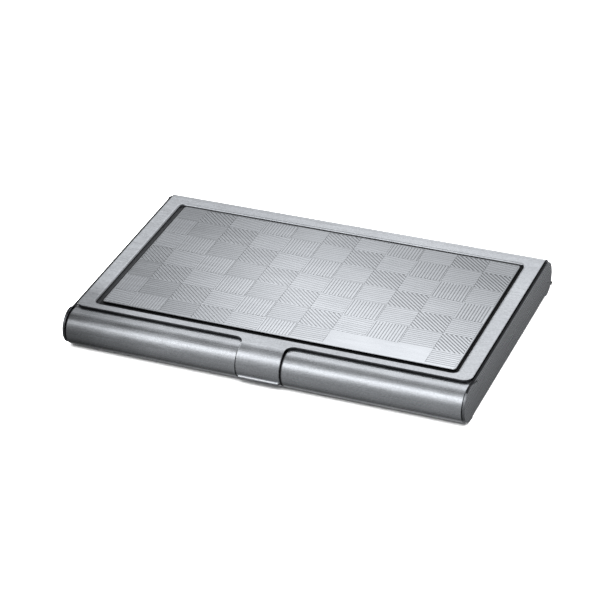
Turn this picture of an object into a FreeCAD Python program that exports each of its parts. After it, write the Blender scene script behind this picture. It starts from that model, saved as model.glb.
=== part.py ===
"""Metal business card case: a rolled sheet base, a hinged rolled lid and an engraved inlay plate.

Frame: millimetres, origin at the centre of the underside, +X to the right along the length,
-Y at the front where the lid's thumb tab is, +Z up. The lid turns about a line parallel to X.
"""
import FreeCAD, Part
import os

import Sketcher

doc = FreeCAD.newDocument("card_case")

# ---------------------------------------------------------------- driving dimensions
DIMENSIONS = {
    "halflength": 47.6,        # outer face of an end wall
    "lidhalf": 46.95,          # half length of the lid, which closes between the end walls
    "basesheet": 0.5,          # steel of the base
    "lidsheet": 0.5,           # steel of the lid
    "wallfront": 25.9,         # centres of an end wall's round ends, from the middle
    "wallrear": 25.35,
    "wallradius": 4.25,        # radius of both round ends; twice this is the wall's height
    "lobeheight": 4.55,        # centre of the front round end, which stands a little higher
    "lobestep": 1.0,           # length of the slopes from the wall to that end, above and below
    "slitfront": 24.2,         # bowed relief slit near the top front of each end wall: its ends
    "slitrear": 21.9,
    "slithigh": 8.3,           # its upper edge at the front
    "slitlow": 7.55,           # its lower edge at the rear
    "slitwidth": 0.25,
    "slithook": 0.65,          # how far its rear end hooks down
    "slitbend": 6.0,           # radius of its bow
    "foldradius": 0.7,         # outside of the fold between floor and end wall
    "topround": 0.35,          # rounding of an end wall's upper outer edge
    "wallroll": 0.3,           # gap between an end wall and the roll beside it
    "rollradius": 4.1,         # outside of the front roll
    "rollcentre": 25.9,        # distance of the front roll's centre from the middle
    "hemreach": 5.6,           # the rear lip's doubled, turned-out hem, from the hinge axis
    "hemhigh": 40.0,           # its faces, in degrees below the level seen from the hinge axis
    "hemlow": 49.0,
    "rollrear": 23.0,          # where the front roll's flat lip ends, under the lid
    "notchhalf": 5.3,          # half width of the notch in the front roll
    "notchbottom": 1.4,        # lowest point of that notch
    "notchcorner": 1.0,        # radius of its lower corners
    "notchrear": 22.3,         # the notch is cut from here forwards, right through the roll
    "notchlength": 10.0,
    "overrun": 1.0,            # how far a cut runs on past the edge of the sheet
    "hingey": 25.7,            # hinge axis
    "hingez": 4.75,
    "lidroll": 4.05,           # outside of the lid's rear roll, round the hinge axis
    "rollend": 46.0,           # degrees below the level at which the roll ends
    "lidfront": 24.3,          # lid's raw front edge
    "lidcorner": 2.0,          # plan radius of the lid's front corners
    "tabhalf": 5.15,           # half width of the thumb tab
    "tabfillet": 2.0,          # plan radius where the front edge turns into the tab
    "tabradius": 4.45,         # outside of the tab's curl
    "tabcentre": 25.62,        # centre of the curl
    "tabend": 25.0,            # degrees below the level at which the curl ends
    "lipreach": 29.95,         # the flared lip's foremost edge
    "liptop": 2.2,             # heights of that edge
    "liplow": 1.95,
    "liproot": 0.65,           # depth of the lip, from that edge to the curl
    "lipwidth": 9.3,           # the lip's width along its edge
    "lipheight": 2.4,          # its corners are cut off up to here, below the curl
    "plateleft": 41.8,         # inlay plate, set a little to the right: its edges from the middle
    "plateright": 42.4,
    "platefront": 20.95,
    "platerear": 22.7,
    "platethick": 0.4,
    "platecorner": 0.6,
    "gluethick": 0.1,          # tape under the plate
    "glueinset": 1.0,          # how far the tape ends inside the plate's edge
    "recesshalf": 43.1,        # the recess's walls round the plate
    "recessfront": 22.2,
    "recessrear": 23.4,
    "recessdepth": 0.6,
    "recesscorner": 1.2,       # plan radius of the recess's corners
    "rimradius": 0.5,          # rounding of the recess's rim
    "earinner": 45.65,         # hinge bracket's upright ear
    "earthick": 0.5,           # steel of the bracket
    "flangeinner": 44.2,       # hinge bracket's welded flange
    "flangefront": 11.0,
    "flangerear": 20.0,
    "earfront": 0.9,           # height of the ear's front end
    "earrear": 22.6,           # where the ear leaves the lid's panel
    "openangle": 95.0,         # lid's full opening, in degrees
    "hubradius": 1.7,          # cam round the hinge pin
    "hubflat": 1.62,           # distance of the cam's flats from the axis
    "hubmeet": 45.0,           # degrees from the level at which the ear's edges meet the cam
    "pinradius": 0.75,
    "pinplay": 0.05,           # radial running clearance of the pin in the ear
    "pinhead": 1.2,            # radius of the pin's head
    "pinheadthick": 0.4,
    "pinheadinner": 45.0,      # the head's inner face
    "springthick": 0.2,
    "springinner": 44.7,       # inner and outer edge of the spring's tongue
    "springouter": 46.3,
    "springtop": 2.98,         # top of the tongue, just under the cam
    "tonguebend": 20.6,        # where the tongue's ramp levels out
    "tonguerear": 27.4,        # where its tip turns down
    "tonguelap": 0.5,          # the tongue's root on the foot
    "rampset": 0.05,           # set-back at both ends of the ramp, which keeps it one sheet thick
    "tipreach": 0.6,           # the turned-down tip
    "tipdrop": 0.7,
    "tipset": 0.1,             # set-back of the tip's underside
    "footinner": 41.8,         # the spring's riveted foot
    "footfront": 6.0,
    "footrear": 11.0,
    "rivetx": 43.6,            # rivet through the spring's foot and the floor
    "rivety": 8.5,
    "rivetradius": 0.6,
    "rivethead": 1.1,
    "rivetheadthick": 0.3,
}

sheet = doc.addObject("Spreadsheet::Sheet", "dims")
for row, (alias, size) in enumerate(DIMENSIONS.items(), start=1):
    cell = "A%d" % row
    sheet.set(cell, str(size))
    sheet.setAlias(cell, alias)
doc.recompute()

LID_TOP = "(dims.hingez + dims.lidroll)"
LID_UNDER = "(dims.hingez + dims.lidroll - dims.lidsheet)"
RECESS_FLOOR = "(dims.hingez + dims.lidroll - dims.recessdepth)"


def number(expression):
    """Value of a sheet expression, used to draw a sketch near its final shape."""
    value = sheet.evalExpression(expression)
    return float(getattr(value, "Value", value))


# ---------------------------------------------------------------- sketch helpers
def new_body(name):
    """An empty body whose label names the exported file."""
    body = doc.addObject("PartDesign::Body", name)
    body.Label = name
    return body


def origin_plane(body, role):
    """One of the body's own origin planes."""
    for feature in body.Origin.OriginFeatures:
        if feature.Role == role:
            return feature
    raise RuntimeError("no plane " + role)


def new_sketch(body, name, role, offset="0"):
    """A sketch on an origin plane, moved along the plane's normal by an expression."""
    sketch = body.newObject("Sketcher::SketchObject", name)
    sketch.AttachmentSupport = (origin_plane(body, role), [""])
    sketch.MapMode = "FlatFace"
    sketch.setExpression("AttachmentOffset.Base.z", offset)
    return sketch


def bend(start, end, radius, centre_on_left):
    """The short arc from start to end whose centre lies on one side of the way."""
    chord = end - start
    sideways = FreeCAD.Vector(-chord.y, chord.x, 0).normalize()
    if not centre_on_left:
        sideways = sideways * -1
    middle = (start + end) * 0.5
    centre = middle + sideways * (radius ** 2 - (chord.Length / 2) ** 2) ** 0.5
    circle = Part.Circle(centre, FreeCAD.Vector(0, 0, 1), radius)
    first, last = (start, end) if centre_on_left else (end, start)
    return Part.ArcOfCircle(circle, circle.parameter(first), circle.parameter(last))


def outline(sketch, corners, bends=None):
    """Draw a closed outline whose corners and radii are all bound to the sheet.

    corners: (across, up) expressions in order. bends: corner number -> (radius expression,
    "left" or "right" for the side of the centre) where an arc leaves that corner.
    """
    bends = bends or {}
    points = [FreeCAD.Vector(number(across), number(up), 0) for across, up in corners]
    ends = []
    for index, start in enumerate(points):
        end = points[(index + 1) % len(points)]
        if index in bends:
            radius, side = bends[index]
            on_left = side == "left"
            edge = sketch.addGeometry(bend(start, end, number(radius), on_left), False)
            ends.append((edge, 1, 2) if on_left else (edge, 2, 1))
        else:
            edge = sketch.addGeometry(Part.LineSegment(start, end), False)
            ends.append((edge, 1, 2))
    for index, (edge, first, last) in enumerate(ends):
        following, next_first, _ = ends[(index + 1) % len(ends)]
        sketch.addConstraint(Sketcher.Constraint("Coincident", edge, last, following, next_first))
    for index, (edge, first, _) in enumerate(ends):
        for kind, expression, distance in zip(("DistanceX", "DistanceY"), corners[index], points[index]):
            made = sketch.addConstraint(Sketcher.Constraint(kind, -1, 1, edge, first, distance))
            sketch.setExpression("Constraints[%d]" % made, expression)
        if index in bends:
            radius = bends[index][0]
            made = sketch.addConstraint(Sketcher.Constraint("Radius", edge, number(radius)))
            sketch.setExpression("Constraints[%d]" % made, radius)


def circle(sketch, across, up, radius):
    """A circle bound to the sheet."""
    centre = FreeCAD.Vector(number(across), number(up), 0)
    edge = sketch.addGeometry(Part.Circle(centre, FreeCAD.Vector(0, 0, 1), number(radius)), False)
    for kind, expression, size in (("DistanceX", across, centre.x), ("DistanceY", up, centre.y)):
        made = sketch.addConstraint(Sketcher.Constraint(kind, -1, 1, edge, 3, size))
        sketch.setExpression("Constraints[%d]" % made, expression)
    made = sketch.addConstraint(Sketcher.Constraint("Radius", edge, number(radius)))
    sketch.setExpression("Constraints[%d]" % made, radius)


def rounded_rectangle(sketch, left, right, low, high, radius):
    """A rectangle with round corners, drawn anticlockwise."""
    corners = [
        (left + "+" + radius, low), (right + "-" + radius, low),
        (right, low + "+" + radius), (right, high + "-" + radius),
        (right + "-" + radius, high), (left + "+" + radius, high),
        (left, high + "-" + radius), (left, low + "+" + radius),
    ]
    outline(sketch, corners, {index: (radius, "left") for index in (1, 3, 5, 7)})


def rectangle(sketch, left, right, low, high):
    """A plain rectangle."""
    outline(sketch, [(left, low), (right, low), (right, high), (left, high)])


def round_hinge(radius, degrees):
    """A point round the hinge axis, so many degrees below the level on the rear side."""
    return ("dims.hingey + %s * cos(%s * 1 deg)" % (radius, degrees),
            "dims.hingez - %s * sin(%s * 1 deg)" % (radius, degrees))


def pad(body, name, sketch, length, midplane=False, backwards=False):
    """Pad a sketch by an expression."""
    feature = body.newObject("PartDesign::Pad", name)
    feature.Profile = sketch
    feature.setExpression("Length", length)
    feature.Midplane = midplane
    feature.Reversed = backwards
    doc.recompute()
    return feature


def pocket(body, name, sketch, length, backwards=False):
    """Pocket a sketch by an expression and make sure that it removes something."""
    before = body.Shape.Volume
    feature = body.newObject("PartDesign::Pocket", name)
    feature.Profile = sketch
    feature.setExpression("Length", length)
    feature.Reversed = backwards
    doc.recompute()
    if not body.Shape.Volume < before - 0.01:
        raise RuntimeError(name + " removes nothing")
    return feature


def fillet(body, name, radius, chosen):
    """Round every edge of the body's tip for which chosen(edge) is true."""
    tip = body.Tip
    edges = ["Edge%d" % (index + 1) for index, edge in enumerate(tip.Shape.Edges) if chosen(edge)]
    if not edges:
        raise RuntimeError(name + " finds no edge")
    feature = body.newObject("PartDesign::Fillet", name)
    feature.Base = (tip, edges)
    feature.setExpression("Radius", radius)
    doc.recompute()
    return feature


def at_height(edge, height):
    """True for an edge that lies wholly at one height."""
    box = edge.BoundBox
    return abs(box.ZMin - height) < 1e-4 and abs(box.ZMax - height) < 1e-4


# ---------------------------------------------------------------- base
def base_shell():
    """Floor, front roll, rear lip and folded end walls of one sheet."""
    body = new_body("base_shell")
    inner = "(dims.rollradius - dims.basesheet)"
    lip_out = "dims.hingez"
    lip_in = "(dims.hingez - dims.basesheet)"
    profile = new_sketch(body, "base_profile", "YZ_Plane")
    corners = [
        ("-dims.rollcentre", "0"),
        ("dims.hingey", "0"),
        round_hinge(lip_out, "dims.hemlow"),
        round_hinge("dims.hemreach", "dims.hemlow"),
        round_hinge("dims.hemreach", "dims.hemhigh"),
        round_hinge(lip_in, "dims.hemhigh"),
        ("dims.hingey", "dims.basesheet"),
        ("-dims.rollcentre", "dims.basesheet"),
        ("-dims.rollcentre - " + inner, "dims.rollradius"),
        ("-dims.rollcentre", "2 * dims.rollradius - dims.basesheet"),
        ("-dims.rollrear", "2 * dims.rollradius - dims.basesheet"),
        ("-dims.rollrear", "2 * dims.rollradius"),
        ("-dims.rollcentre", "2 * dims.rollradius"),
        ("-dims.rollcentre - dims.rollradius", "dims.rollradius"),
    ]
    bends = {
        1: (lip_out, "left"), 3: ("dims.hemreach", "left"), 5: (lip_in, "right"),
        7: (inner, "right"), 8: (inner, "right"),
        12: ("dims.rollradius", "left"), 13: ("dims.rollradius", "left"),
    }
    outline(profile, corners, bends)
    pad(body, "base_roll", profile, "2 * (dims.halflength - dims.basesheet - dims.wallroll)", midplane=True)

    hem = new_sketch(body, "hem_profile", "YZ_Plane")
    corners = [
        round_hinge(lip_out, "dims.hemlow"),
        round_hinge("dims.hemreach", "dims.hemlow"),
        round_hinge("dims.hemreach", "dims.hemhigh"),
        round_hinge(lip_out, "dims.hemhigh"),
    ]
    outline(hem, corners, {1: ("dims.hemreach", "left"), 3: (lip_out, "right")})
    pad(body, "hem_behind_the_walls", hem, "2 * dims.halflength", midplane=True)

    front_step = "(dims.wallfront - dims.lobestep)"
    floor = new_sketch(body, "floor_outline", "XY_Plane")
    rectangle(floor, "-dims.halflength", "dims.halflength", "-" + front_step, "dims.wallrear")
    pad(body, "floor", floor, "dims.basesheet")

    wall = new_sketch(body, "wall_outline", "YZ_Plane", "dims.halflength - dims.basesheet")
    corners = [
        ("-" + front_step, "0"),
        ("dims.wallrear", "0"),
        ("dims.wallrear + dims.wallradius", "dims.wallradius"),
        ("dims.wallrear", "2 * dims.wallradius"),
        ("-" + front_step, "2 * dims.wallradius"),
        ("-dims.wallfront", "dims.lobeheight + dims.wallradius"),
        ("-dims.wallfront - dims.wallradius", "dims.lobeheight"),
        ("-dims.wallfront", "dims.lobeheight - dims.wallradius"),
    ]
    outline(wall, corners, {index: ("dims.wallradius", "left") for index in (1, 2, 5, 6)})
    slit = [
        ("-dims.slitfront", "dims.slithigh"),
        ("-dims.slitrear", "dims.slitlow + dims.slitwidth"),
        ("-dims.slitrear", "dims.slitlow - dims.slithook"),
        ("-dims.slitrear - dims.slitwidth", "dims.slitlow - dims.slithook"),
        ("-dims.slitrear - dims.slitwidth", "dims.slitlow"),
        ("-dims.slitfront", "dims.slithigh - dims.slitwidth"),
    ]
    outline(wall, slit, {0: ("dims.slitbend", "right"), 4: ("dims.slitbend", "left")})
    right_wall = pad(body, "right_wall", wall, "dims.basesheet")
    mirrored = body.newObject("PartDesign::Mirrored", "left_wall")
    mirrored.Originals = [right_wall]
    mirrored.MirrorPlane = (origin_plane(body, "YZ_Plane"), [""])
    body.Tip = mirrored
    doc.recompute()

    notch = new_sketch(body, "notch_outline", "XZ_Plane", "dims.notchrear")
    left, right = "-dims.notchhalf", "dims.notchhalf"
    low, high = "dims.notchbottom", "2 * dims.rollradius + dims.overrun"
    corners = [
        (left + " + dims.notchcorner", low), (right + " - dims.notchcorner", low),
        (right, low + " + dims.notchcorner"), (right, high), (left, high),
        (left, low + " + dims.notchcorner"),
    ]
    outline(notch, corners, {1: ("dims.notchcorner", "left"), 5: ("dims.notchcorner", "left")})
    pocket(body, "front_notch", notch, "dims.notchlength", backwards=True)

    holes = new_sketch(body, "rivet_holes", "XY_Plane")
    for side in ("", "-"):
        circle(holes, side + "dims.rivetx", "dims.rivety", "dims.rivetradius")
    pocket(body, "rivet_hole_pair", holes, "dims.basesheet", backwards=True)

    folds = new_sketch(body, "fold_outline", "XZ_Plane", "-dims.wallrear")
    outline(folds, [
        ("dims.halflength - dims.foldradius", "0"),
        ("dims.halflength", "0"),
        ("dims.halflength", "dims.foldradius"),
    ], {2: ("dims.foldradius", "right")})
    outline(folds, [
        ("dims.halflength", "2 * dims.wallradius"),
        ("dims.halflength - dims.topround", "2 * dims.wallradius"),
        ("dims.halflength", "2 * dims.wallradius - dims.topround"),
    ], {1: ("dims.topround", "right")})
    right_fold = pocket(body, "right_fold", folds, "dims.wallrear + " + front_step, backwards=True)
    both_folds = body.newObject("PartDesign::Mirrored", "left_fold")
    both_folds.Originals = [right_fold]
    both_folds.MirrorPlane = (origin_plane(body, "YZ_Plane"), [""])
    body.Tip = both_folds
    doc.recompute()
    return body


# ---------------------------------------------------------------- lid
def recess_outline(sketch, grow):
    """The recess round the plate, grown outwards by an expression."""
    side = "(dims.recesshalf + %s)" % grow
    front = "(dims.recessfront + %s)" % grow
    rear = "(dims.recessrear + %s)" % grow
    corner = "(dims.recesscorner + %s)" % grow
    rounded_rectangle(sketch, "-" + side, side, "-" + front, rear, corner)


def lid_shell():
    """Top panel with a drawn recess, a rear roll and a curled thumb tab, of one sheet."""
    body = new_body("lid_shell")
    corner, root = "dims.lidcorner", "(dims.tabhalf + dims.tabfillet)"
    panel = new_sketch(body, "panel_outline", "XY_Plane", LID_UNDER)
    corners = [
        ("-dims.lidhalf + " + corner, "-dims.lidfront"),
        ("-" + root, "-dims.lidfront"),
        ("-" + root, "-dims.tabcentre"),
        (root, "-dims.tabcentre"),
        (root, "-dims.lidfront"),
        ("dims.lidhalf - " + corner, "-dims.lidfront"),
        ("dims.lidhalf", "-dims.lidfront + " + corner),
        ("dims.lidhalf", "dims.hingey"),
        ("-dims.lidhalf", "dims.hingey"),
        ("-dims.lidhalf", "-dims.lidfront + " + corner),
    ]
    outline(panel, corners, {5: (corner, "left"), 9: (corner, "left")})
    pad(body, "panel", panel, "dims.lidsheet")

    roll = new_sketch(body, "roll_profile", "YZ_Plane")
    roll_in = "(dims.lidroll - dims.lidsheet)"
    corners = [
        ("dims.hingey", LID_TOP),
        ("dims.hingey", LID_UNDER),
        ("dims.hingey + " + roll_in, "dims.hingez"),
        round_hinge(roll_in, "dims.rollend"),
        round_hinge("dims.lidroll", "dims.rollend"),
        ("dims.hingey + dims.lidroll", "dims.hingez"),
    ]
    bends = {
        1: (roll_in, "right"), 2: (roll_in, "right"),
        4: ("dims.lidroll", "left"), 5: ("dims.lidroll", "left"),
    }
    outline(roll, corners, bends)
    pad(body, "rear_roll", roll, "2 * dims.lidhalf", midplane=True)

    curl = new_sketch(body, "tab_profile", "YZ_Plane")
    curl_height = "(%s - dims.tabradius)" % LID_TOP
    curl_in = "(dims.tabradius - dims.lidsheet)"

    def round_curl(radius):
        """Where the curl ends, on a circle round its centre."""
        return ("-dims.tabcentre - %s * cos(dims.tabend * 1 deg)" % radius,
                "%s - %s * sin(dims.tabend * 1 deg)" % (curl_height, radius))

    corners = [
        ("-dims.tabcentre", LID_UNDER),
        ("-dims.tabcentre", LID_TOP),
        ("-dims.tabcentre - dims.tabradius", curl_height),
        round_curl("dims.tabradius"),
        ("-dims.lipreach", "dims.liptop"),
        ("-dims.lipreach", "dims.liplow"),
        ("-dims.lipreach + dims.liproot", "dims.liplow"),
        round_curl(curl_in),
        ("-dims.tabcentre - " + curl_in, curl_height),
    ]
    bends = {
        1: ("dims.tabradius", "left"), 2: ("dims.tabradius", "left"),
        7: (curl_in, "right"), 8: (curl_in, "right"),
    }
    outline(curl, corners, bends)
    pad(body, "tab_curl", curl, "2 * " + root, midplane=True)

    trim = new_sketch(body, "tab_trim", "XY_Plane")
    beyond = "(dims.lipreach + dims.overrun)"
    lip_half = "(dims.lipwidth / 2)"
    lip_start = "(dims.lipreach - dims.liproot)"
    corners = [
        (root, "-dims.lidfront"),
        ("dims.tabhalf", "-dims.lidfront - dims.tabfillet"),
        ("dims.tabhalf", "-" + beyond),
        (root + " + dims.overrun", "-" + beyond),
        (root + " + dims.overrun", "-dims.lidfront"),
    ]
    outline(trim, corners, {0: ("dims.tabfillet", "left")})
    right_trim = pocket(body, "right_tab_trim", trim, LID_TOP, backwards=True)

    lip_trim = new_sketch(body, "lip_trim", "XY_Plane")
    corners = [
        ("dims.tabhalf", "-" + lip_start),
        (lip_half, "-dims.lipreach"),
        (lip_half, "-" + beyond),
        ("dims.tabhalf + dims.overrun", "-" + beyond),
        ("dims.tabhalf + dims.overrun", "-" + lip_start),
    ]
    outline(lip_trim, corners)
    right_corner = pocket(body, "right_lip_corner", lip_trim, "dims.lipheight", backwards=True)
    both_trims = body.newObject("PartDesign::Mirrored", "left_tab_trim")
    both_trims.Originals = [right_trim, right_corner]
    both_trims.MirrorPlane = (origin_plane(body, "YZ_Plane"), [""])
    body.Tip = both_trims
    doc.recompute()

    pan = new_sketch(body, "pan_outline", "XY_Plane", RECESS_FLOOR + " - dims.lidsheet")
    recess_outline(pan, "dims.lidsheet")
    pad(body, "pan", pan, "dims.recessdepth")
    recess = new_sketch(body, "recess_outline", "XY_Plane", RECESS_FLOOR)
    recess_outline(recess, "0")
    pocket(body, "recess", recess, "dims.recessdepth", backwards=True)

    top = number(LID_TOP)
    rim = [number("dims.recesshalf"), number("dims.recessrear")]

    def rim_edge(edge):
        """Upper edge of the recess."""
        box = edge.BoundBox
        inside = abs(box.Center.x) < rim[0] + 0.01 and abs(box.Center.y) < rim[1] + 0.01
        return at_height(edge, top) and inside

    fillet(body, "rim", "dims.rimradius", rim_edge)
    return body


# ---------------------------------------------------------------- inlay
def plate_like(name, inset, low, thickness, corner):
    """A flat rounded rectangle under the plate's outline, drawn in by an expression."""
    body = new_body(name)
    sketch = new_sketch(body, name + "_outline", "XY_Plane", low)
    left, right = "(dims.plateleft - %s)" % inset, "(dims.plateright - %s)" % inset
    front, rear = "(dims.platefront - %s)" % inset, "(dims.platerear - %s)" % inset
    rounded_rectangle(sketch, "-" + left, right, "-" + front, rear, corner)
    pad(body, name + "_pad", sketch, thickness)
    return body


def inlay_adhesive():
    """Double-sided tape that holds the plate in the lid's recess."""
    return plate_like("inlay_adhesive", "dims.glueinset", RECESS_FLOOR, "dims.gluethick", "dims.platecorner")


def inlay_plate():
    """Engraved metal plate."""
    low = RECESS_FLOOR + " + dims.gluethick"
    return plate_like("inlay_plate", "0", low, "dims.platethick", "dims.platecorner")


# ---------------------------------------------------------------- hinge, one on each side
def mirrored_offset(side, near, far):
    """Sketch offset along X of a slab between two distances from the middle."""
    return near if side == "right" else "-" + far


def on_side(side, expression):
    """An X coordinate on one side."""
    return expression if side == "right" else "-" + expression


def hinge_bracket(side):
    """Upright ear with a cam hub, and the flange that is welded under the lid."""
    body = new_body("hinge_bracket_" + side)
    outer = "(dims.earinner + dims.earthick)"
    ear = new_sketch(body, "ear_outline_" + side, "YZ_Plane", mirrored_offset(side, "dims.earinner", outer))
    flat_turn = "acos(dims.hubflat / dims.hubradius)"
    open_turn = "(90 deg - dims.openangle * 1 deg)"

    def hub(degrees):
        """A point on the hub, at an angle below the level on the rear side."""
        return ("dims.hingey + dims.hubradius * cos(%s)" % degrees,
                "dims.hingez - dims.hubradius * sin(%s)" % degrees)

    corners = [
        ("dims.flangefront", LID_UNDER),
        ("dims.flangefront", LID_UNDER + " - dims.earfront"),
        hub("(180 deg - dims.hubmeet * 1 deg)"),
        hub("(90 deg + %s)" % flat_turn),
        hub("(90 deg - %s)" % flat_turn),
        hub("(%s + %s)" % (open_turn, flat_turn)),
        hub("(%s - %s)" % (open_turn, flat_turn)),
        hub("(-dims.hubmeet * 1 deg)"),
        ("dims.earrear", LID_UNDER),
    ]
    bends = {index: ("dims.hubradius", "left") for index in (2, 4, 6)}
    outline(ear, corners, bends)
    pad(body, "ear_" + side, ear, "dims.earthick")

    flange = new_sketch(body, "flange_outline_" + side, "XY_Plane", LID_UNDER + " - dims.earthick")
    near, far = on_side(side, "dims.flangeinner"), on_side(side, outer)
    rectangle(flange, near, far, "dims.flangefront", "dims.flangerear")
    pad(body, "flange_" + side, flange, "dims.earthick")

    hole = new_sketch(body, "pin_hole_" + side, "YZ_Plane", mirrored_offset(side, outer, "dims.earinner"))
    circle(hole, "dims.hingey", "dims.hingez", "dims.pinradius + dims.pinplay")
    pocket(body, "pin_bore_" + side, hole, "dims.earthick")
    return body


def hinge_pin(side):
    """Headed stud, welded to the inside of the end wall."""
    body = new_body("hinge_pin_" + side)
    wall = "(dims.halflength - dims.basesheet)"
    head = "(dims.pinheadinner + dims.pinheadthick)"
    shaft = new_sketch(body, "pin_outline_" + side, "YZ_Plane", mirrored_offset(side, head, wall))
    circle(shaft, "dims.hingey", "dims.hingez", "dims.pinradius")
    pad(body, "pin_shaft_" + side, shaft, wall + " - " + head)
    cap = new_sketch(body, "head_outline_" + side, "YZ_Plane", mirrored_offset(side, "dims.pinheadinner", head))
    circle(cap, "dims.hingey", "dims.hingez", "dims.pinhead")
    pad(body, "pin_head_" + side, cap, "dims.pinheadthick")
    return body


def friction_spring(side):
    """Leaf spring on the floor; its tongue presses up against the hinge bracket's cam."""
    body = new_body("friction_spring_" + side)
    thick = "dims.springthick"
    foot_top = "(dims.basesheet + %s)" % thick
    foot = new_sketch(body, "foot_outline_" + side, "XY_Plane", "dims.basesheet")
    near, far = on_side(side, "dims.footinner"), on_side(side, "dims.springouter")
    rectangle(foot, near, far, "dims.footfront", "dims.footrear")
    pad(body, "foot_" + side, foot, thick)

    place = mirrored_offset(side, "dims.springinner", "dims.springouter")
    tongue = new_sketch(body, "tongue_outline_" + side, "YZ_Plane", place)
    corners = [
        ("dims.footrear - dims.tonguelap", "dims.basesheet"),
        ("dims.footrear", "dims.basesheet"),
        ("dims.tonguebend + dims.rampset", "dims.springtop - " + thick),
        ("dims.tonguerear - dims.tipset", "dims.springtop - " + thick),
        ("dims.tonguerear + dims.tipreach - dims.tipset", "dims.springtop - dims.tipdrop - dims.tipset"),
        ("dims.tonguerear + dims.tipreach", "dims.springtop - dims.tipdrop"),
        ("dims.tonguerear", "dims.springtop"),
        ("dims.tonguebend", "dims.springtop"),
        ("dims.footrear - dims.rampset", foot_top),
        ("dims.footrear - dims.tonguelap", foot_top),
    ]
    outline(tongue, corners)
    pad(body, "tongue_" + side, tongue, "dims.springouter - dims.springinner")

    hole = new_sketch(body, "spring_hole_" + side, "XY_Plane", "dims.basesheet")
    circle(hole, on_side(side, "dims.rivetx"), "dims.rivety", "dims.rivetradius")
    pocket(body, "spring_bore_" + side, hole, thick, backwards=True)
    return body


def spring_rivet(side):
    """Rivet through the floor and the spring's foot, flush underneath."""
    body = new_body("spring_rivet_" + side)
    foot_top = "(dims.basesheet + dims.springthick)"
    shank = new_sketch(body, "shank_outline_" + side, "XY_Plane")
    circle(shank, on_side(side, "dims.rivetx"), "dims.rivety", "dims.rivetradius")
    pad(body, "shank_" + side, shank, foot_top)
    head = new_sketch(body, "rivet_head_outline_" + side, "XY_Plane", foot_top)
    circle(head, on_side(side, "dims.rivetx"), "dims.rivety", "dims.rivethead")
    pad(body, "rivet_head_" + side, head, "dims.rivetheadthick")
    return body


# ---------------------------------------------------------------- build, check and export
def check_and_export(bodies):
    """Stop on any failed object, then write one STEP file for each body."""
    doc.recompute()
    for item in doc.Objects:
        if "Invalid" in item.State or "Error" in item.State:
            raise RuntimeError(item.Label + " failed to build")
    for body in bodies:
        shape = body.Shape
        if shape.isNull() or not shape.isValid() or len(shape.Solids) != 1:
            raise RuntimeError(body.Label + " is not one sound solid")
    os.makedirs("parts", exist_ok=True)
    for body in bodies:
        body.Shape.exportStep("parts/" + body.Label + ".step")
        print("%-24s %9.2f mm3" % (body.Label, body.Shape.Volume))


bodies = [base_shell(), lid_shell(), inlay_adhesive(), inlay_plate()]
for side in ("left", "right"):
    for part in (hinge_bracket, hinge_pin, friction_spring, spring_rivet):
        bodies.append(part(side))
check_and_export(bodies)
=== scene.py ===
import math

import bmesh
import bpy
from mathutils import Matrix, Vector


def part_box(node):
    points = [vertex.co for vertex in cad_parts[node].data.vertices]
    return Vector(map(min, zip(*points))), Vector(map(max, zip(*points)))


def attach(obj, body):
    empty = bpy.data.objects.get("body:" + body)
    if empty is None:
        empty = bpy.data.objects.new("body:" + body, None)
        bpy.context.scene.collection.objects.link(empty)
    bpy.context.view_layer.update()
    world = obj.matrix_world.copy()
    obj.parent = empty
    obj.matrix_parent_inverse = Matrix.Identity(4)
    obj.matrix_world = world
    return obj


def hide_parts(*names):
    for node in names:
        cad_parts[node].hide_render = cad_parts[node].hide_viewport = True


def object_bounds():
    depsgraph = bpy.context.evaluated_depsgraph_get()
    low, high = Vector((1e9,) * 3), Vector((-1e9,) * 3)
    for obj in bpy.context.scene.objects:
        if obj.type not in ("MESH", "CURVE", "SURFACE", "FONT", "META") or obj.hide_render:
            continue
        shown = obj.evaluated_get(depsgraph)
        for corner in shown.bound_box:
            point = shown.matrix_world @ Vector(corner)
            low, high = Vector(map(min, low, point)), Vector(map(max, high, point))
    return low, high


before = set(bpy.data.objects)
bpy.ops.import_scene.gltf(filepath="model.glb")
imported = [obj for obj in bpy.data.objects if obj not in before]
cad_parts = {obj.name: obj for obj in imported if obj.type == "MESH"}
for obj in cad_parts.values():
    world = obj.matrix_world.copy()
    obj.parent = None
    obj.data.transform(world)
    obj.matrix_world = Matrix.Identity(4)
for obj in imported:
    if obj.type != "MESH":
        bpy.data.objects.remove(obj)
cad_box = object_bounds()

MM = 0.001


# ---------------------------------------------------------------- node helpers

def new_tree(material):
    """Empties a material's node tree and returns it."""
    material.use_nodes = True
    material.node_tree.nodes.clear()
    return material.node_tree


def put(value, socket, tree):
    """Links an output to a socket, or sets the socket's own value."""
    if isinstance(value, bpy.types.NodeSocket):
        tree.links.new(value, socket)
    else:
        socket.default_value = value


def split_xyz(tree, vector):
    """A vector's three numbers."""
    n = tree.nodes.new("ShaderNodeSeparateXYZ")
    tree.links.new(vector, n.inputs[0])
    return tuple(n.outputs)


def math_node(tree, operation, a, b=0.0):
    n = tree.nodes.new("ShaderNodeMath")
    n.operation = operation
    put(a, n.inputs[0], tree)
    put(b, n.inputs[1], tree)
    return n.outputs[0]


def absolute(tree, value):
    return math_node(tree, "ABSOLUTE", value)


def product(tree, first, *others):
    for value in others:
        first = math_node(tree, "MULTIPLY", first, value)
    return first


def largest(tree, first, *others):
    for value in others:
        first = math_node(tree, "MAXIMUM", first, value)
    return first


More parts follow.
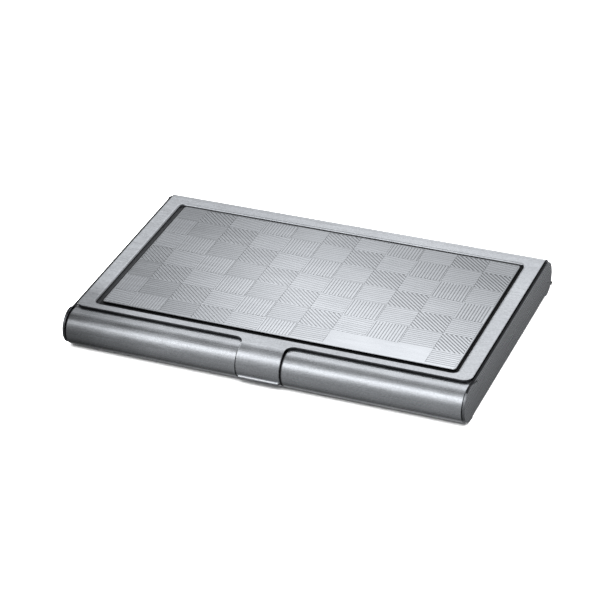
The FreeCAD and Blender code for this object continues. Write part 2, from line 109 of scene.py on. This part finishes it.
def ramp_value(tree, value, low, high, out_low=0.0, out_high=1.0, smooth=True):
    """value from low..high to out_low..out_high, held at both ends."""
    n = tree.nodes.new("ShaderNodeMapRange")
    n.interpolation_type = "SMOOTHSTEP" if smooth else "LINEAR"
    n.clamp = True
    put(value, n.inputs["Value"], tree)
    put(low, n.inputs["From Min"], tree)
    put(high, n.inputs["From Max"], tree)
    put(out_low, n.inputs["To Min"], tree)
    put(out_high, n.inputs["To Max"], tree)
    return n.outputs["Result"]


def around_one(tree, value, spread):
    """A noise as a factor between 1 - spread and 1 + spread."""
    return ramp_value(tree, value, 0.3, 0.7, 1.0 - spread, 1.0 + spread, smooth=False)


def mix_node(tree, kind, first_input, output, factor, a, b):
    """A Mix node of one data type, whose sockets a and b start at first_input."""
    n = tree.nodes.new("ShaderNodeMix")
    n.data_type = kind
    put(factor, n.inputs[0], tree)
    put(a, n.inputs[first_input], tree)
    put(b, n.inputs[first_input + 1], tree)
    return n.outputs[output]


def mix_value(tree, factor, a, b):
    return mix_node(tree, "FLOAT", 2, 0, factor, a, b)


def mix_vector(tree, factor, a, b):
    return mix_node(tree, "VECTOR", 4, 1, factor, a, b)


def mix_color(tree, factor, a, b):
    return mix_node(tree, "RGBA", 6, 2, factor, a, b)


def scale_color(tree, color, factor):
    n = tree.nodes.new("ShaderNodeVectorMath")
    n.operation = "SCALE"
    put(color, n.inputs[0], tree)
    put(factor, n.inputs["Scale"], tree)
    return n.outputs[0]


def noise(tree, vector, scale, detail=2.0, roughness=0.5, offset=(0.0, 0.0, 0.0)):
    """Noise stretched by a scale for each axis, in features per metre."""
    m = tree.nodes.new("ShaderNodeMapping")
    put(vector, m.inputs["Vector"], tree)
    m.inputs["Scale"].default_value = scale
    m.inputs["Location"].default_value = offset
    n = tree.nodes.new("ShaderNodeTexNoise")
    tree.links.new(m.outputs[0], n.inputs["Vector"])
    n.inputs["Scale"].default_value = 1.0
    n.inputs["Detail"].default_value = detail
    n.inputs["Roughness"].default_value = roughness
    return n.outputs["Fac"]


def bump(tree, height, strength, distance, normal=None):
    n = tree.nodes.new("ShaderNodeBump")
    put(height, n.inputs["Height"], tree)
    n.inputs["Strength"].default_value = strength
    n.inputs["Distance"].default_value = distance
    if normal is not None:
        tree.links.new(normal, n.inputs["Normal"])
    return n.outputs[0]


def grey(value, tint=1.08):
    """A neutral, slightly blue grey."""
    return (value, value * (1 + (tint - 1) * 0.4), value * tint, 1.0)


# ------------------------------------------------------------------- materials

SHADOW = (0.012, 0.012, 0.013, 1.0)
SHADOW_ROUGHNESS = 0.6
SCRATCH_DEPTH = 0.03 * MM
WAVE_DEPTH = 0.12 * MM


def brush_space(tree, point, place, on_end):
    """Coordinates whose X runs along the brushing, which is X, but Y on the sheets' end faces."""
    turned = tree.nodes.new("ShaderNodeCombineXYZ")
    for source, socket in zip((place[1], place[0], place[2]), turned.inputs):
        tree.links.new(source, socket)
    return mix_vector(tree, on_end, point, turned.outputs[0])


def edge_normal(tree, radius):
    """The normal of cut edges that are rounded by a radius."""
    bevel = tree.nodes.new("ShaderNodeBevel")
    bevel.samples = 6
    bevel.inputs["Radius"].default_value = radius
    return bevel.outputs[0]


def brushed_steel(
    name, tone, rough, spread, streak, anisotropic, speckle, painted_shadow=None, edge=0.0, painted_shading=None
):
    """Brushed steel. tone is its reflectance, rough its roughness and spread the change of it, streak the
    depth of the scratches, speckle the contrast of its fine grain, cavity a function that returns a mask of
    painted shade, edge the rounding of its cut edges and wear a function that returns a factor of painted
    light and shade."""
    material = bpy.data.materials.new(name)
    tree = new_tree(material)
    out = tree.nodes.new("ShaderNodeOutputMaterial")
    shader = tree.nodes.new("ShaderNodeBsdfPrincipled")
    tree.links.new(shader.outputs[0], out.inputs["Surface"])
    shader.inputs["Metallic"].default_value = 1.0
    shader.inputs["Anisotropic"].default_value = anisotropic

    coordinates = tree.nodes.new("ShaderNodeTexCoord").outputs
    point = coordinates["Object"]
    place = split_xyz(tree, point)
    facing = split_xyz(tree, coordinates["Normal"])
    on_end = ramp_value(tree, absolute(tree, facing[0]), 0.70, 0.74)
    along = brush_space(tree, point, place, on_end)

    # scratches, wide waves and blotches run along the brushing; clouds and grain don't
    fine = noise(tree, along, (90.0, 5200.0, 5200.0), 3.0, 0.6)
    broad = noise(tree, along, (110.0, 1300.0, 1300.0), 3.0, 0.55, (3.0, 7.0, 1.0))
    waves = noise(tree, along, (150.0, 520.0, 520.0), 2.0, 0.5, (9.0, 4.0, 2.0))
    blotch = noise(tree, along, (190.0, 620.0, 620.0), 3.0, 0.6, (8.0, 1.0, 6.0))
    cloud = noise(tree, point, (45.0, 60.0, 60.0), 3.0, 0.55, (1.0, 2.0, 5.0))
    grain = noise(tree, point, (2300.0, 2900.0, 2900.0), 2.0, 0.6, (4.0, 4.0, 4.0))
    lines = math_node(tree, "ADD", product(tree, fine, 0.6), product(tree, broad, 0.4))

    line_tone = ramp_value(tree, lines, 0.36, 0.64, smooth=False)
    colour = mix_color(tree, line_tone, grey(tone * 0.90), grey(tone * 1.08))
    clouded = ramp_value(tree, cloud, 0.35, 0.65, 0.0, 0.25)
    colour = mix_color(tree, clouded, colour, grey(tone * 0.93, 1.10))
    factor = product(tree, around_one(tree, blotch, 1.4 * speckle), around_one(tree, grain, 2.0 * speckle))
    # painted light and shade: the wear factor brightens or darkens the colour to copy how light falls
    if painted_shading is not None:
        factor = product(tree, factor, painted_shading(tree, place, on_end))
    colour = scale_color(tree, colour, factor)

    roughness = math_node(
        tree,
        "ADD",
        ramp_value(tree, lines, 0.34, 0.66, rough - spread, rough + spread, smooth=False),
        ramp_value(tree, math_node(tree, "ADD", cloud, blotch), 0.7, 1.3, -0.04, 0.04),
    )
    # painted shade: the cavity mask mixes the colour towards the SHADOW colour
    if painted_shadow is not None:
        mask = painted_shadow(tree, place, facing)
        colour = mix_color(tree, mask, colour, SHADOW)
        roughness = ramp_value(tree, mask, 0.0, 1.0, roughness, SHADOW_ROUGHNESS)
    put(colour, shader.inputs["Base Color"], tree)
    put(roughness, shader.inputs["Roughness"], tree)

    tangent = mix_vector(tree, on_end, (1.0, 0.0, 0.0), (0.0, 1.0, 0.0))
    tree.links.new(tangent, shader.inputs["Tangent"])
    rounded = edge_normal(tree, edge) if edge else None
    uneven = bump(tree, waves, streak * 0.8, WAVE_DEPTH, rounded)
    tree.links.new(bump(tree, lines, streak, SCRATCH_DEPTH, uneven), shader.inputs["Normal"])
    return material


# --------------------------------------------------------------- engraved plate

# the turned-over edge, from the face to the side: inset from the side and drop from the face, in mm
PLATE_EDGE = ((0.15, 0.0), (0.13, 0.008), (0.02, 0.11), (0.0, 0.14))
PLATE_CORNER = 0.6 * MM
ARC_STEPS = 5

# the cells: a border all round, then columns from the left and rows from the rear
BORDER = 0.34 * MM
COLUMNS = 11
ROWS = 7
FIRST_COLUMN = -35.73 * MM
COLUMN = 7.88 * MM
FIRST_ROW = 17.36 * MM
ROW = 6.52 * MM
STRIP_COLUMNS = (7, 8, 9)

# the grooves: their pitch and width, the flat land round a cell, and what counts as one point
PITCH = 0.72 * MM
GROOVE = 0.36 * MM
LAND = 0.05 * MM
WELD = 0.0015 * MM

# the four directions that follow each other, with the grooves' depth in mm at the plate's left and right
DIAGONAL = math.atan2(ROW, COLUMN)
DIRECTIONS = (
    (0.0, 0.030, 0.040),
    (-DIAGONAL, 0.055, 0.060),
    (DIAGONAL, 0.018, 0.034),
    (math.pi / 2, 0.006, 0.028),
)


def engraved_plate(low, high):
    """The inlaid plate: a rounded rectangle with a turned-over edge, its face ruled in cells of V grooves."""
    bm = bmesh.new()
    xs = [low.x + BORDER] + [FIRST_COLUMN + COLUMN * i for i in range(COLUMNS - 1)] + [high.x - BORDER]
    ys = [high.y - BORDER] + [FIRST_ROW - ROW * i for i in range(ROWS - 1)] + [low.y + BORDER]
    grid = {(i, j): bm.verts.new((x, y, high.z)) for i, x in enumerate(xs) for j, y in enumerate(ys)}
    cells = plate_cells(bm, grid)

    rings = [grid_border(grid)]
    for inset, drop in PLATE_EDGE:
        rings.append(plate_outline(bm, low, high, xs, ys, inset * MM, high.z - drop * MM))
    rings.append(plate_outline(bm, low, high, xs, ys, 0.0, low.z))
    for inner, outer in zip(rings, rings[1:]):
        join_rings(bm, inner, outer)
    bm.faces.new(list(reversed(rings[-1])))

    for face, i, j in cells:
        angle, at_left, at_right = DIRECTIONS[(i - j) % len(DIRECTIONS)]
        depth = at_left + (at_right - at_left) * i / (COLUMNS - 1)
        engrave(bm, face, angle, depth * MM, high.z)

    bm.normal_update()
    mesh = bpy.data.meshes.new("engraved_plate")
    bm.to_mesh(mesh)
    bm.free()
    plate = bpy.data.objects.new("engraved_plate", mesh)
    bpy.context.scene.collection.objects.link(plate)
    return plate


def plate_cells(bm, grid):
    """The cells' faces with their column and row, and one blank face for the strip in the last row."""
    cells = []
    for j in range(ROWS):
        for i in range(COLUMNS):
            if j < ROWS - 1 or i not in STRIP_COLUMNS:
                corners = [grid[i, j + 1], grid[i + 1, j + 1], grid[i + 1, j], grid[i, j]]
                cells.append((bm.faces.new(corners), i, j))
    first, last = STRIP_COLUMNS[0], STRIP_COLUMNS[-1] + 1
    strip = [grid[i, ROWS] for i in range(first, last + 1)]
    strip += [grid[i, ROWS - 1] for i in range(last, first - 1, -1)]
    bm.faces.new(strip)
    return cells


def grid_border(grid):
    """The grid's border, anticlockwise from the front left. A corner comes once for each point of its arc."""
    corner = ARC_STEPS + 1
    border = [grid[i, ROWS] for i in range(1, COLUMNS)]
    border += [grid[COLUMNS, ROWS]] * corner
    border += [grid[COLUMNS, j] for j in range(ROWS - 1, 0, -1)]
    border += [grid[COLUMNS, 0]] * corner
    border += [grid[i, 0] for i in range(COLUMNS - 1, 0, -1)]
    border += [grid[0, 0]] * corner
    border += [grid[0, j] for j in range(1, ROWS)]
    border += [grid[0, ROWS]] * corner
    return border


def plate_outline(bm, low, high, xs, ys, inset, z):
    """The outline in the order of grid_border: a point for each grid line, and an arc at each corner."""
    left, right = low.x + PLATE_CORNER, high.x - PLATE_CORNER
    front, rear = low.y + PLATE_CORNER, high.y - PLATE_CORNER
    points = [(x, low.y + inset) for x in xs[1:-1]]
    points += corner_arc(right, front, PLATE_CORNER - inset, -90.0)
    points += [(high.x - inset, y) for y in reversed(ys[1:-1])]
    points += corner_arc(right, rear, PLATE_CORNER - inset, 0.0)
    points += [(x, high.y - inset) for x in reversed(xs[1:-1])]
    points += corner_arc(left, rear, PLATE_CORNER - inset, 90.0)
    points += [(low.x + inset, y) for y in ys[1:-1]]
    points += corner_arc(left, front, PLATE_CORNER - inset, 180.0)
    return [bm.verts.new((x, y, z)) for x, y in points]


def corner_arc(x, y, radius, start):
    """A quarter circle round a centre, anticlockwise from start degrees."""
    turns = [math.radians(start + 90.0 * k / ARC_STEPS) for k in range(ARC_STEPS + 1)]
    return [(x + radius * math.cos(turn), y + radius * math.sin(turn)) for turn in turns]


def join_rings(bm, inner, outer):
    """Faces between two closed rings. Where the inner one repeats a corner they are triangles."""
    for k in range(len(inner)):
        m = (k + 1) % len(inner)
        corners = [inner[k], outer[k], outer[m]]
        if inner[m] is not inner[k]:
            corners.append(inner[m])
        bm.faces.new(corners)


def engrave(bm, face, angle, depth, top):
    """Cuts parallel V grooves at an angle into one cell, inside a narrow land.

    Known fault: the inset may move a cell's own corners inwards and put new points in their place, and then
    corners, taken before it, names the wrong points. Such lands have small holes and faces without area."""
    corners = set(face.verts)
    land = bmesh.ops.inset_region(bm, faces=[face], thickness=LAND, use_even_offset=True)["faces"]
    across = Vector((-math.sin(angle), math.cos(angle), 0.0))
    centre = face.calc_center_median()
    reach = [(v.co - centre).dot(across) for v in face.verts]

    # planes cut the cell along each groove's two edges and its bottom
    geometry = [face, *face.edges, *face.verts]
    for k in range(math.floor(min(reach) / PITCH) - 1, math.ceil(max(reach) / PITCH) + 2):
        for shift in (-GROOVE / 2, 0.0, GROOVE / 2):
            s = k * PITCH + shift
            if min(reach) < s < max(reach):
                geometry = bmesh.ops.bisect_plane(
                    bm, geom=geometry, dist=WELD, plane_co=centre + across * s, plane_no=across
                )["geom"]

    for v in [g for g in geometry if isinstance(g, bmesh.types.BMVert)]:
        s = (v.co - centre).dot(across)
        away = abs(s - PITCH * round(s / PITCH))
        v.co.z = top - depth * max(0.0, 1.0 - away / (GROOVE / 2))
    for side in land:
        remake_side(bm, side, corners)


def remake_side(bm, side, corners):
    """Makes one side of a cell's land again, of triangles from its two corners to the grooves' ends."""
    a, b = [v for v in side.verts if v in corners]
    line = (b.co - a.co).normalized()
    points = [v for v in side.verts if v not in corners]
    points.sort(key=lambda v: (v.co - a.co).dot(line))
    bm.faces.remove(side)
    middle = len(points) // 2
    triangles = [(a, q, p) for p, q in zip(points[:middle], points[1:middle + 1])]
    triangles.append((a, b, points[middle]))
    triangles += [(b, q, p) for p, q in zip(points[middle:], points[middle + 1:])]
    for p, q, r in triangles:
        if (q.co - p.co).cross(r.co - p.co).z < 0:
            q, r = r, q
        bm.faces.new((p, q, r))


plate_low, plate_high = (Vector(corner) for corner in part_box("inlay_plate"))
plate = engraved_plate(plate_low, plate_high)
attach(plate, "lid")
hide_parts("inlay_plate")


# ------------------------------------------------------------ finishes assigned

# edges of the sheets, in the CAD frame
RECESS_HALF = 43.1 * MM
RECESS_FRONT = -22.2 * MM
RECESS_REAR = 23.4 * MM
RECESS_SOFT = 0.05 * MM
LID_TOP = 8.8 * MM
LID_UNDER = 8.3 * MM
LID_LEFT = -46.95 * MM
LID_FRONT = -24.3 * MM
WALL_INSIDE = 47.1 * MM
WALL_TOP = 8.5 * MM
NOTCH_HALF = 5.3 * MM
HEM_START = 28.9 * MM


def recess_shadow(tree, place, facing):
    """Painted shade: blackens the lid's recess from just under the rim down, the sheet's cut edges and its
    left edge.
    """
    x, y, z = place
    inside = product(
        tree,
        ramp_value(tree, absolute(tree, x), RECESS_HALF - RECESS_SOFT, RECESS_HALF + RECESS_SOFT, 1.0, 0.0),
        ramp_value(tree, y, RECESS_FRONT - RECESS_SOFT, RECESS_FRONT + RECESS_SOFT),
        ramp_value(tree, y, RECESS_REAR - RECESS_SOFT, RECESS_REAR + RECESS_SOFT, 1.0, 0.0),
    )
    beside_left = ramp_value(tree, x, -42.45 * MM, -42.15 * MM, 0.83, 0.96)
    recess = product(
        tree,
        inside,
        ramp_value(tree, z, LID_TOP - 0.22 * MM, LID_TOP - 0.01 * MM, 1.0, 0.0),
        beside_left,
        ramp_value(tree, z, LID_UNDER - 0.3 * MM, LID_UNDER - 0.2 * MM),
    )
    edge = product(
        tree,
        ramp_value(tree, absolute(tree, facing[2]), 0.30, 0.60, 1.0, 0.0),
        ramp_value(tree, z, LID_UNDER - 0.08 * MM, LID_UNDER - 0.02 * MM),
        ramp_value(tree, product(tree, facing[1], -1.0), 0.3, 0.8, 0.98, 0.80),
    )
    left = ramp_value(tree, x, LID_LEFT + 0.17 * MM, LID_LEFT + 0.43 * MM, 0.92, 0.0)
    return largest(tree, recess, edge, left)


def base_shadows(tree, place, facing):
    """Painted shade: blackens the roll's lip under the closed lid's front edge, and the base's cut edges."""
    x, y, z = place
    out = absolute(tree, x)
    sideways = absolute(tree, facing[0])
    front_line = product(
        tree,
        ramp_value(tree, y, LID_FRONT - 0.75 * MM, LID_FRONT - 0.05 * MM, 0.0, 0.62),
        ramp_value(tree, y, LID_FRONT + 0.1 * MM, LID_FRONT + 0.4 * MM, 1.0, 0.0),
        ramp_value(tree, z, 7.9 * MM, 8.0 * MM),
        ramp_value(tree, out, 46.85 * MM, 46.95 * MM, 1.0, 0.0),
    )
    wall = ramp_value(tree, out, WALL_INSIDE - 0.1 * MM, WALL_INSIDE - 0.05 * MM)
    wall_top = product(
        tree,
        ramp_value(tree, facing[2], 0.2, 0.8),
        ramp_value(tree, z, WALL_TOP - 0.40 * MM, WALL_TOP - 0.15 * MM),
        wall,
        0.93,
    )
    wall_rim = product(tree, ramp_value(tree, sideways, 0.3, 0.5, 1.0, 0.0), wall, 0.45)

    # painted shade on the notch beside the thumb tab: its cut faces, and a strip of the roll on either side
    cut = product(
        tree,
        ramp_value(tree, sideways, 0.7, 0.9),
        ramp_value(tree, out, NOTCH_HALF + 0.7 * MM, NOTCH_HALF + 0.8 * MM, 0.5, 0.0),
    )
    left_strip = product(
        tree,
        ramp_value(tree, x, -NOTCH_HALF - 0.22 * MM, -NOTCH_HALF - 0.08 * MM, 0.0, 0.85),
        ramp_value(tree, x, -NOTCH_HALF + 0.1 * MM, -NOTCH_HALF + 0.2 * MM, 1.0, 0.0),
    )
    right_strip = product(
        tree,
        ramp_value(tree, x, NOTCH_HALF + 0.15 * MM, NOTCH_HALF + 0.55 * MM, 0.95, 0.0),
        ramp_value(tree, x, NOTCH_HALF - 0.2 * MM, NOTCH_HALF - 0.1 * MM),
    )
    on_roll = ramp_value(tree, y, -25.0 * MM, -24.5 * MM, 1.0, 0.0)
    strips = product(tree, largest(tree, left_strip, right_strip), on_roll)

    hem_ends = product(
        tree,
        ramp_value(tree, out, 46.4 * MM, 46.6 * MM),
        ramp_value(tree, y, HEM_START, HEM_START + 0.1 * MM),
        ramp_value(tree, z, 1.7 * MM, 1.9 * MM, 1.0, 0.0),
    )
    return largest(tree, front_line, wall_top, wall_rim, cut, strips, hem_ends)


def plate_shadows(tree, place, facing):
    """Painted shade: blackens the plate's side below its turned-over edge, and the grooves in its face, more
    at the left.
    """
    x, _, z = place
    side = ramp_value(tree, z, plate_high.z - 0.15 * MM, plate_high.z - 0.12 * MM, 1.0, 0.0)
    # painted shade in the grooves, darker at the left
    groove_shade = ramp_value(tree, x, -38.0 * MM, 0.0, 0.85, 0.45)
    groove = ramp_value(
        tree, z, plate_high.z - 0.055 * MM, plate_high.z - 0.004 * MM, groove_shade, 0.0, smooth=False
    )
    return largest(tree, side, groove)


def case_painted_shading(tree, place, on_end):
    """Painted light and shade: the end walls are darker towards the bottom and lighter towards the top, and
    the roll is darker underneath and at its left end.
    """
    x, _, z = place
    wall = ramp_value(tree, z, 0.2 * MM, 8.2 * MM, 0.74, 1.18, smooth=False)
    under = ramp_value(tree, z, 0.35 * MM, 1.2 * MM, 0.45, 1.0)
    left = ramp_value(tree, x, -47.2 * MM, -20.0 * MM, 0.46, 1.0)
    return mix_value(tree, on_end, product(tree, under, left), wall)


def lid_painted_shade(tree, place, on_end):
    """Painted shade: the frame is darker at its front left corner."""
    x, y, _ = place
    left = ramp_value(tree, x, -46.0 * MM, -26.0 * MM, 1.0, 0.0)
    front = ramp_value(tree, y, -21.5 * MM, -12.0 * MM, 1.0, 0.0)
    return math_node(tree, "SUBTRACT", 1.0, product(tree, left, front, 0.42))


def plate_painted_shade(tree, place, on_end):
    """Painted shade: the satin face is darker towards the left end and the rear right corner."""
    x, y, _ = place
    towards_rear = math_node(tree, "ADD", product(tree, x, 0.35), product(tree, y, 0.9))
    rear = ramp_value(tree, towards_rear, -4.0 * MM, 28.0 * MM, 1.02, 0.56, smooth=False)
    left = ramp_value(tree, x, -44.0 * MM, 4.0 * MM, 0.60, 1.0)
    return product(tree, rear, left)


# the cavity functions give painted shade, and the wear functions painted light and shade
case_finish = brushed_steel(
    "case_brushed_steel", tone=0.60, rough=0.27, spread=0.07, streak=0.5, anisotropic=0.55,
    speckle=0.05, painted_shadow=base_shadows, edge=0.15 * MM, painted_shading=case_painted_shading,
)
lid_finish = brushed_steel(
    "lid_brushed_steel", tone=0.61, rough=0.30, spread=0.06, streak=0.45, anisotropic=0.45,
    speckle=0.06, painted_shadow=recess_shadow, edge=0.34 * MM, painted_shading=lid_painted_shade,
)
plate_finish = brushed_steel(
    "plate_fine_steel", tone=0.68, rough=0.18, spread=0.03, streak=0.05, anisotropic=0.2,
    speckle=0.01, painted_shadow=plate_shadows, painted_shading=plate_painted_shade,
)
hinge_finish = brushed_steel(
    "hinge_steel", tone=0.5, rough=0.32, spread=0.05, streak=0.2, anisotropic=0.3, speckle=0.02
)
spring_finish = brushed_steel(
    "spring_steel", tone=0.45, rough=0.26, spread=0.04, streak=0.1, anisotropic=0.3, speckle=0.02
)
adhesive_finish = brushed_steel(
    "adhesive", tone=0.05, rough=0.8, spread=0.04, streak=0.3, anisotropic=0.0, speckle=0.05
)

FINISHES = {
    "base_shell": case_finish,
    "lid_shell": lid_finish,
    "inlay_adhesive": adhesive_finish,
    "hinge_bracket_left": hinge_finish,
    "hinge_bracket_right": hinge_finish,
    "hinge_pin_left": hinge_finish,
    "hinge_pin_right": hinge_finish,
    "friction_spring_left": spring_finish,
    "friction_spring_right": spring_finish,
    "spring_rivet_left": hinge_finish,
    "spring_rivet_right": hinge_finish,
}
for node_name, finish in FINISHES.items():
    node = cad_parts[node_name]
    node.data.materials.clear()
    node.data.materials.append(finish)
plate.data.materials.append(plate_finish)


# --------------------------------------------------------------- studio and view

FLOOR_DARK = (0.90, 0.90, 0.90, 1.0)
FLOOR_LIGHT = (0.93, 0.93, 0.93, 1.0)
FLOOR_RADIUS = 4.0
SURROUND_RADIUS = 6.0
FLOOR_STEPS = 96


def floor_material():
    material = bpy.data.materials.new("studio_floor")
    tree = new_tree(material)
    out = tree.nodes.new("ShaderNodeOutputMaterial")
    shader = tree.nodes.new("ShaderNodeBsdfDiffuse")
    tree.links.new(shader.outputs[0], out.inputs["Surface"])
    place = tree.nodes.new("ShaderNodeTexCoord").outputs["Object"]
    fibre = noise(tree, place, (900.0, 900.0, 900.0), 2.0)
    colour = mix_color(tree, ramp_value(tree, fibre, 0.3, 0.7), FLOOR_DARK, FLOOR_LIGHT)
    put(colour, shader.inputs["Color"], tree)
    return material


def stage_piece(name, bm, material):
    """A studio object from a bmesh, of one material."""
    mesh = bpy.data.meshes.new(name)
    bm.to_mesh(mesh)
    bm.free()
    mesh.materials.append(material)
    ob = bpy.data.objects.new(name, mesh)
    bpy.context.scene.collection.objects.link(ob)
    return ob


def floor_disc():
    """A pale floor under the object, which the metal doesn't reflect."""
    bm = bmesh.new()
    bmesh.ops.create_circle(bm, cap_ends=True, radius=FLOOR_RADIUS, segments=FLOOR_STEPS)
    bmesh.ops.translate(bm, verts=bm.verts, vec=(0.0, 0.0, cad_box[0].z))
    ob = stage_piece("studio_floor", bm, floor_material())
    ob.visible_glossy = False


floor_disc()


def soft_light(name, place, target, size, power):
    """A round light that is seen by neither the camera nor the metal."""
    data = bpy.data.lights.new(name, "AREA")
    data.shape = "DISK"
    data.size = size
    data.energy = power
    ob = bpy.data.objects.new(name, data)
    bpy.context.scene.collection.objects.link(ob)
    ob.location = place
    ob.rotation_mode = "QUATERNION"
    ob.rotation_quaternion = (Vector(target) - Vector(place)).to_track_quat("-Z", "Y")
    ob.visible_camera = False
    ob.visible_glossy = False


soft_light("overhead_softbox", place=(0.1, -0.2, 1.5), target=(0.0, 0.0, 0.0), size=2.2, power=115.0)


# what the metal reflects: degrees from straight up, positive towards the front, and the brightness there
WORLD_BANDS = (
    (-180, 0.12), (-135, 0.55), (-98, 0.80), (-84, 1.10), (-70, 0.95), (-60, 0.95), (-51, 1.45),
    (-38, 1.45), (-27, 0.90), (-16, 0.48), (-6, 0.40), (6, 0.55), (18, 0.95), (29, 1.90), (39, 2.30),
    (50, 1.70), (60, 1.00), (72, 0.62), (86, 0.47), (110, 0.42), (140, 0.33), (180, 0.10),
)


def studio_world():
    """Softboxes behind and in front of the object, dark overhead, a darker room below the horizon."""
    world = bpy.data.worlds.new("studio")
    bpy.context.scene.world = world
    tree = new_tree(world)
    out = tree.nodes.new("ShaderNodeOutputWorld")
    back = tree.nodes.new("ShaderNodeBackground")
    tree.links.new(back.outputs[0], out.inputs["Surface"])
    x, y, z = split_xyz(tree, tree.nodes.new("ShaderNodeTexCoord").outputs["Generated"])
    angle = math_node(tree, "ARCTAN2", product(tree, y, -1.0), z)
    turn = ramp_value(tree, angle, -math.pi, math.pi, smooth=False)
    ramp = tree.nodes.new("ShaderNodeValToRGB")
    tree.links.new(turn, ramp.inputs[0])
    elements = ramp.color_ramp.elements
    peak = max(level for _, level in WORLD_BANDS)
    while len(elements) < len(WORLD_BANDS):
        elements.new(0.5)
    for element, (degrees, level) in zip(elements, WORLD_BANDS):
        element.position = (degrees + 180.0) / 360.0
        element.color = grey(level / peak, 1.02)

    # the bands are brightest a little to the left, with one more light at the far left
    rise = ramp_value(tree, x, -0.47, -0.31, 0.36, 1.0)
    fall = ramp_value(tree, x, -0.27, 0.10, 1.0, 0.34)
    far_left = ramp_value(tree, x, -0.68, -0.52, 0.85, 0.0)
    side = math_node(tree, "ADD", product(tree, rise, fall), far_left)
    put(ramp.outputs[0], back.inputs["Color"], tree)
    put(product(tree, side, peak), back.inputs["Strength"], tree)


studio_world()


def white_surround():
    """A plain white sphere that only the camera sees, beyond the floor."""
    material = bpy.data.materials.new("studio_surround")
    tree = new_tree(material)
    out = tree.nodes.new("ShaderNodeOutputMaterial")
    glow = tree.nodes.new("ShaderNodeEmission")
    glow.inputs["Strength"].default_value = 1.0
    tree.links.new(glow.outputs[0], out.inputs["Surface"])
    bm = bmesh.new()
    bmesh.ops.create_uvsphere(bm, u_segments=48, v_segments=24, radius=SURROUND_RADIUS)
    ob = stage_piece("studio_surround", bm, material)
    ob.visible_diffuse = False
    ob.visible_glossy = False
    ob.visible_transmission = False
    ob.visible_volume_scatter = False
    ob.visible_shadow = False


white_surround()

CAMERA_PLACE = Vector((187.225, -412.167, 296.532)) * MM
CAMERA_AIM = Vector((-0.35162, 0.76351, -0.54168)).normalized()
CAMERA_AZIMUTH = math.radians(24.73)
CAMERA_ROLL = math.radians(-3.322)
camera_data = bpy.data.cameras.new("camera")
camera_data.lens = 142.83
camera_data.sensor_width = 36.0
camera_data.clip_start = 0.01
camera_data.clip_end = 20.0
camera = bpy.data.objects.new("camera", camera_data)
bpy.context.scene.collection.objects.link(camera)
level = Vector((math.cos(CAMERA_AZIMUTH), math.sin(CAMERA_AZIMUTH), 0.0))
upright = level.cross(CAMERA_AIM)
right = level * math.cos(CAMERA_ROLL) + upright * math.sin(CAMERA_ROLL)
up = right.cross(CAMERA_AIM)
turn = Matrix((right, up, -CAMERA_AIM)).transposed().to_4x4()
camera.matrix_world = Matrix.Translation(CAMERA_PLACE) @ turn
bpy.context.scene.camera = camera
bpy.context.scene.view_settings.view_transform = "Standard"
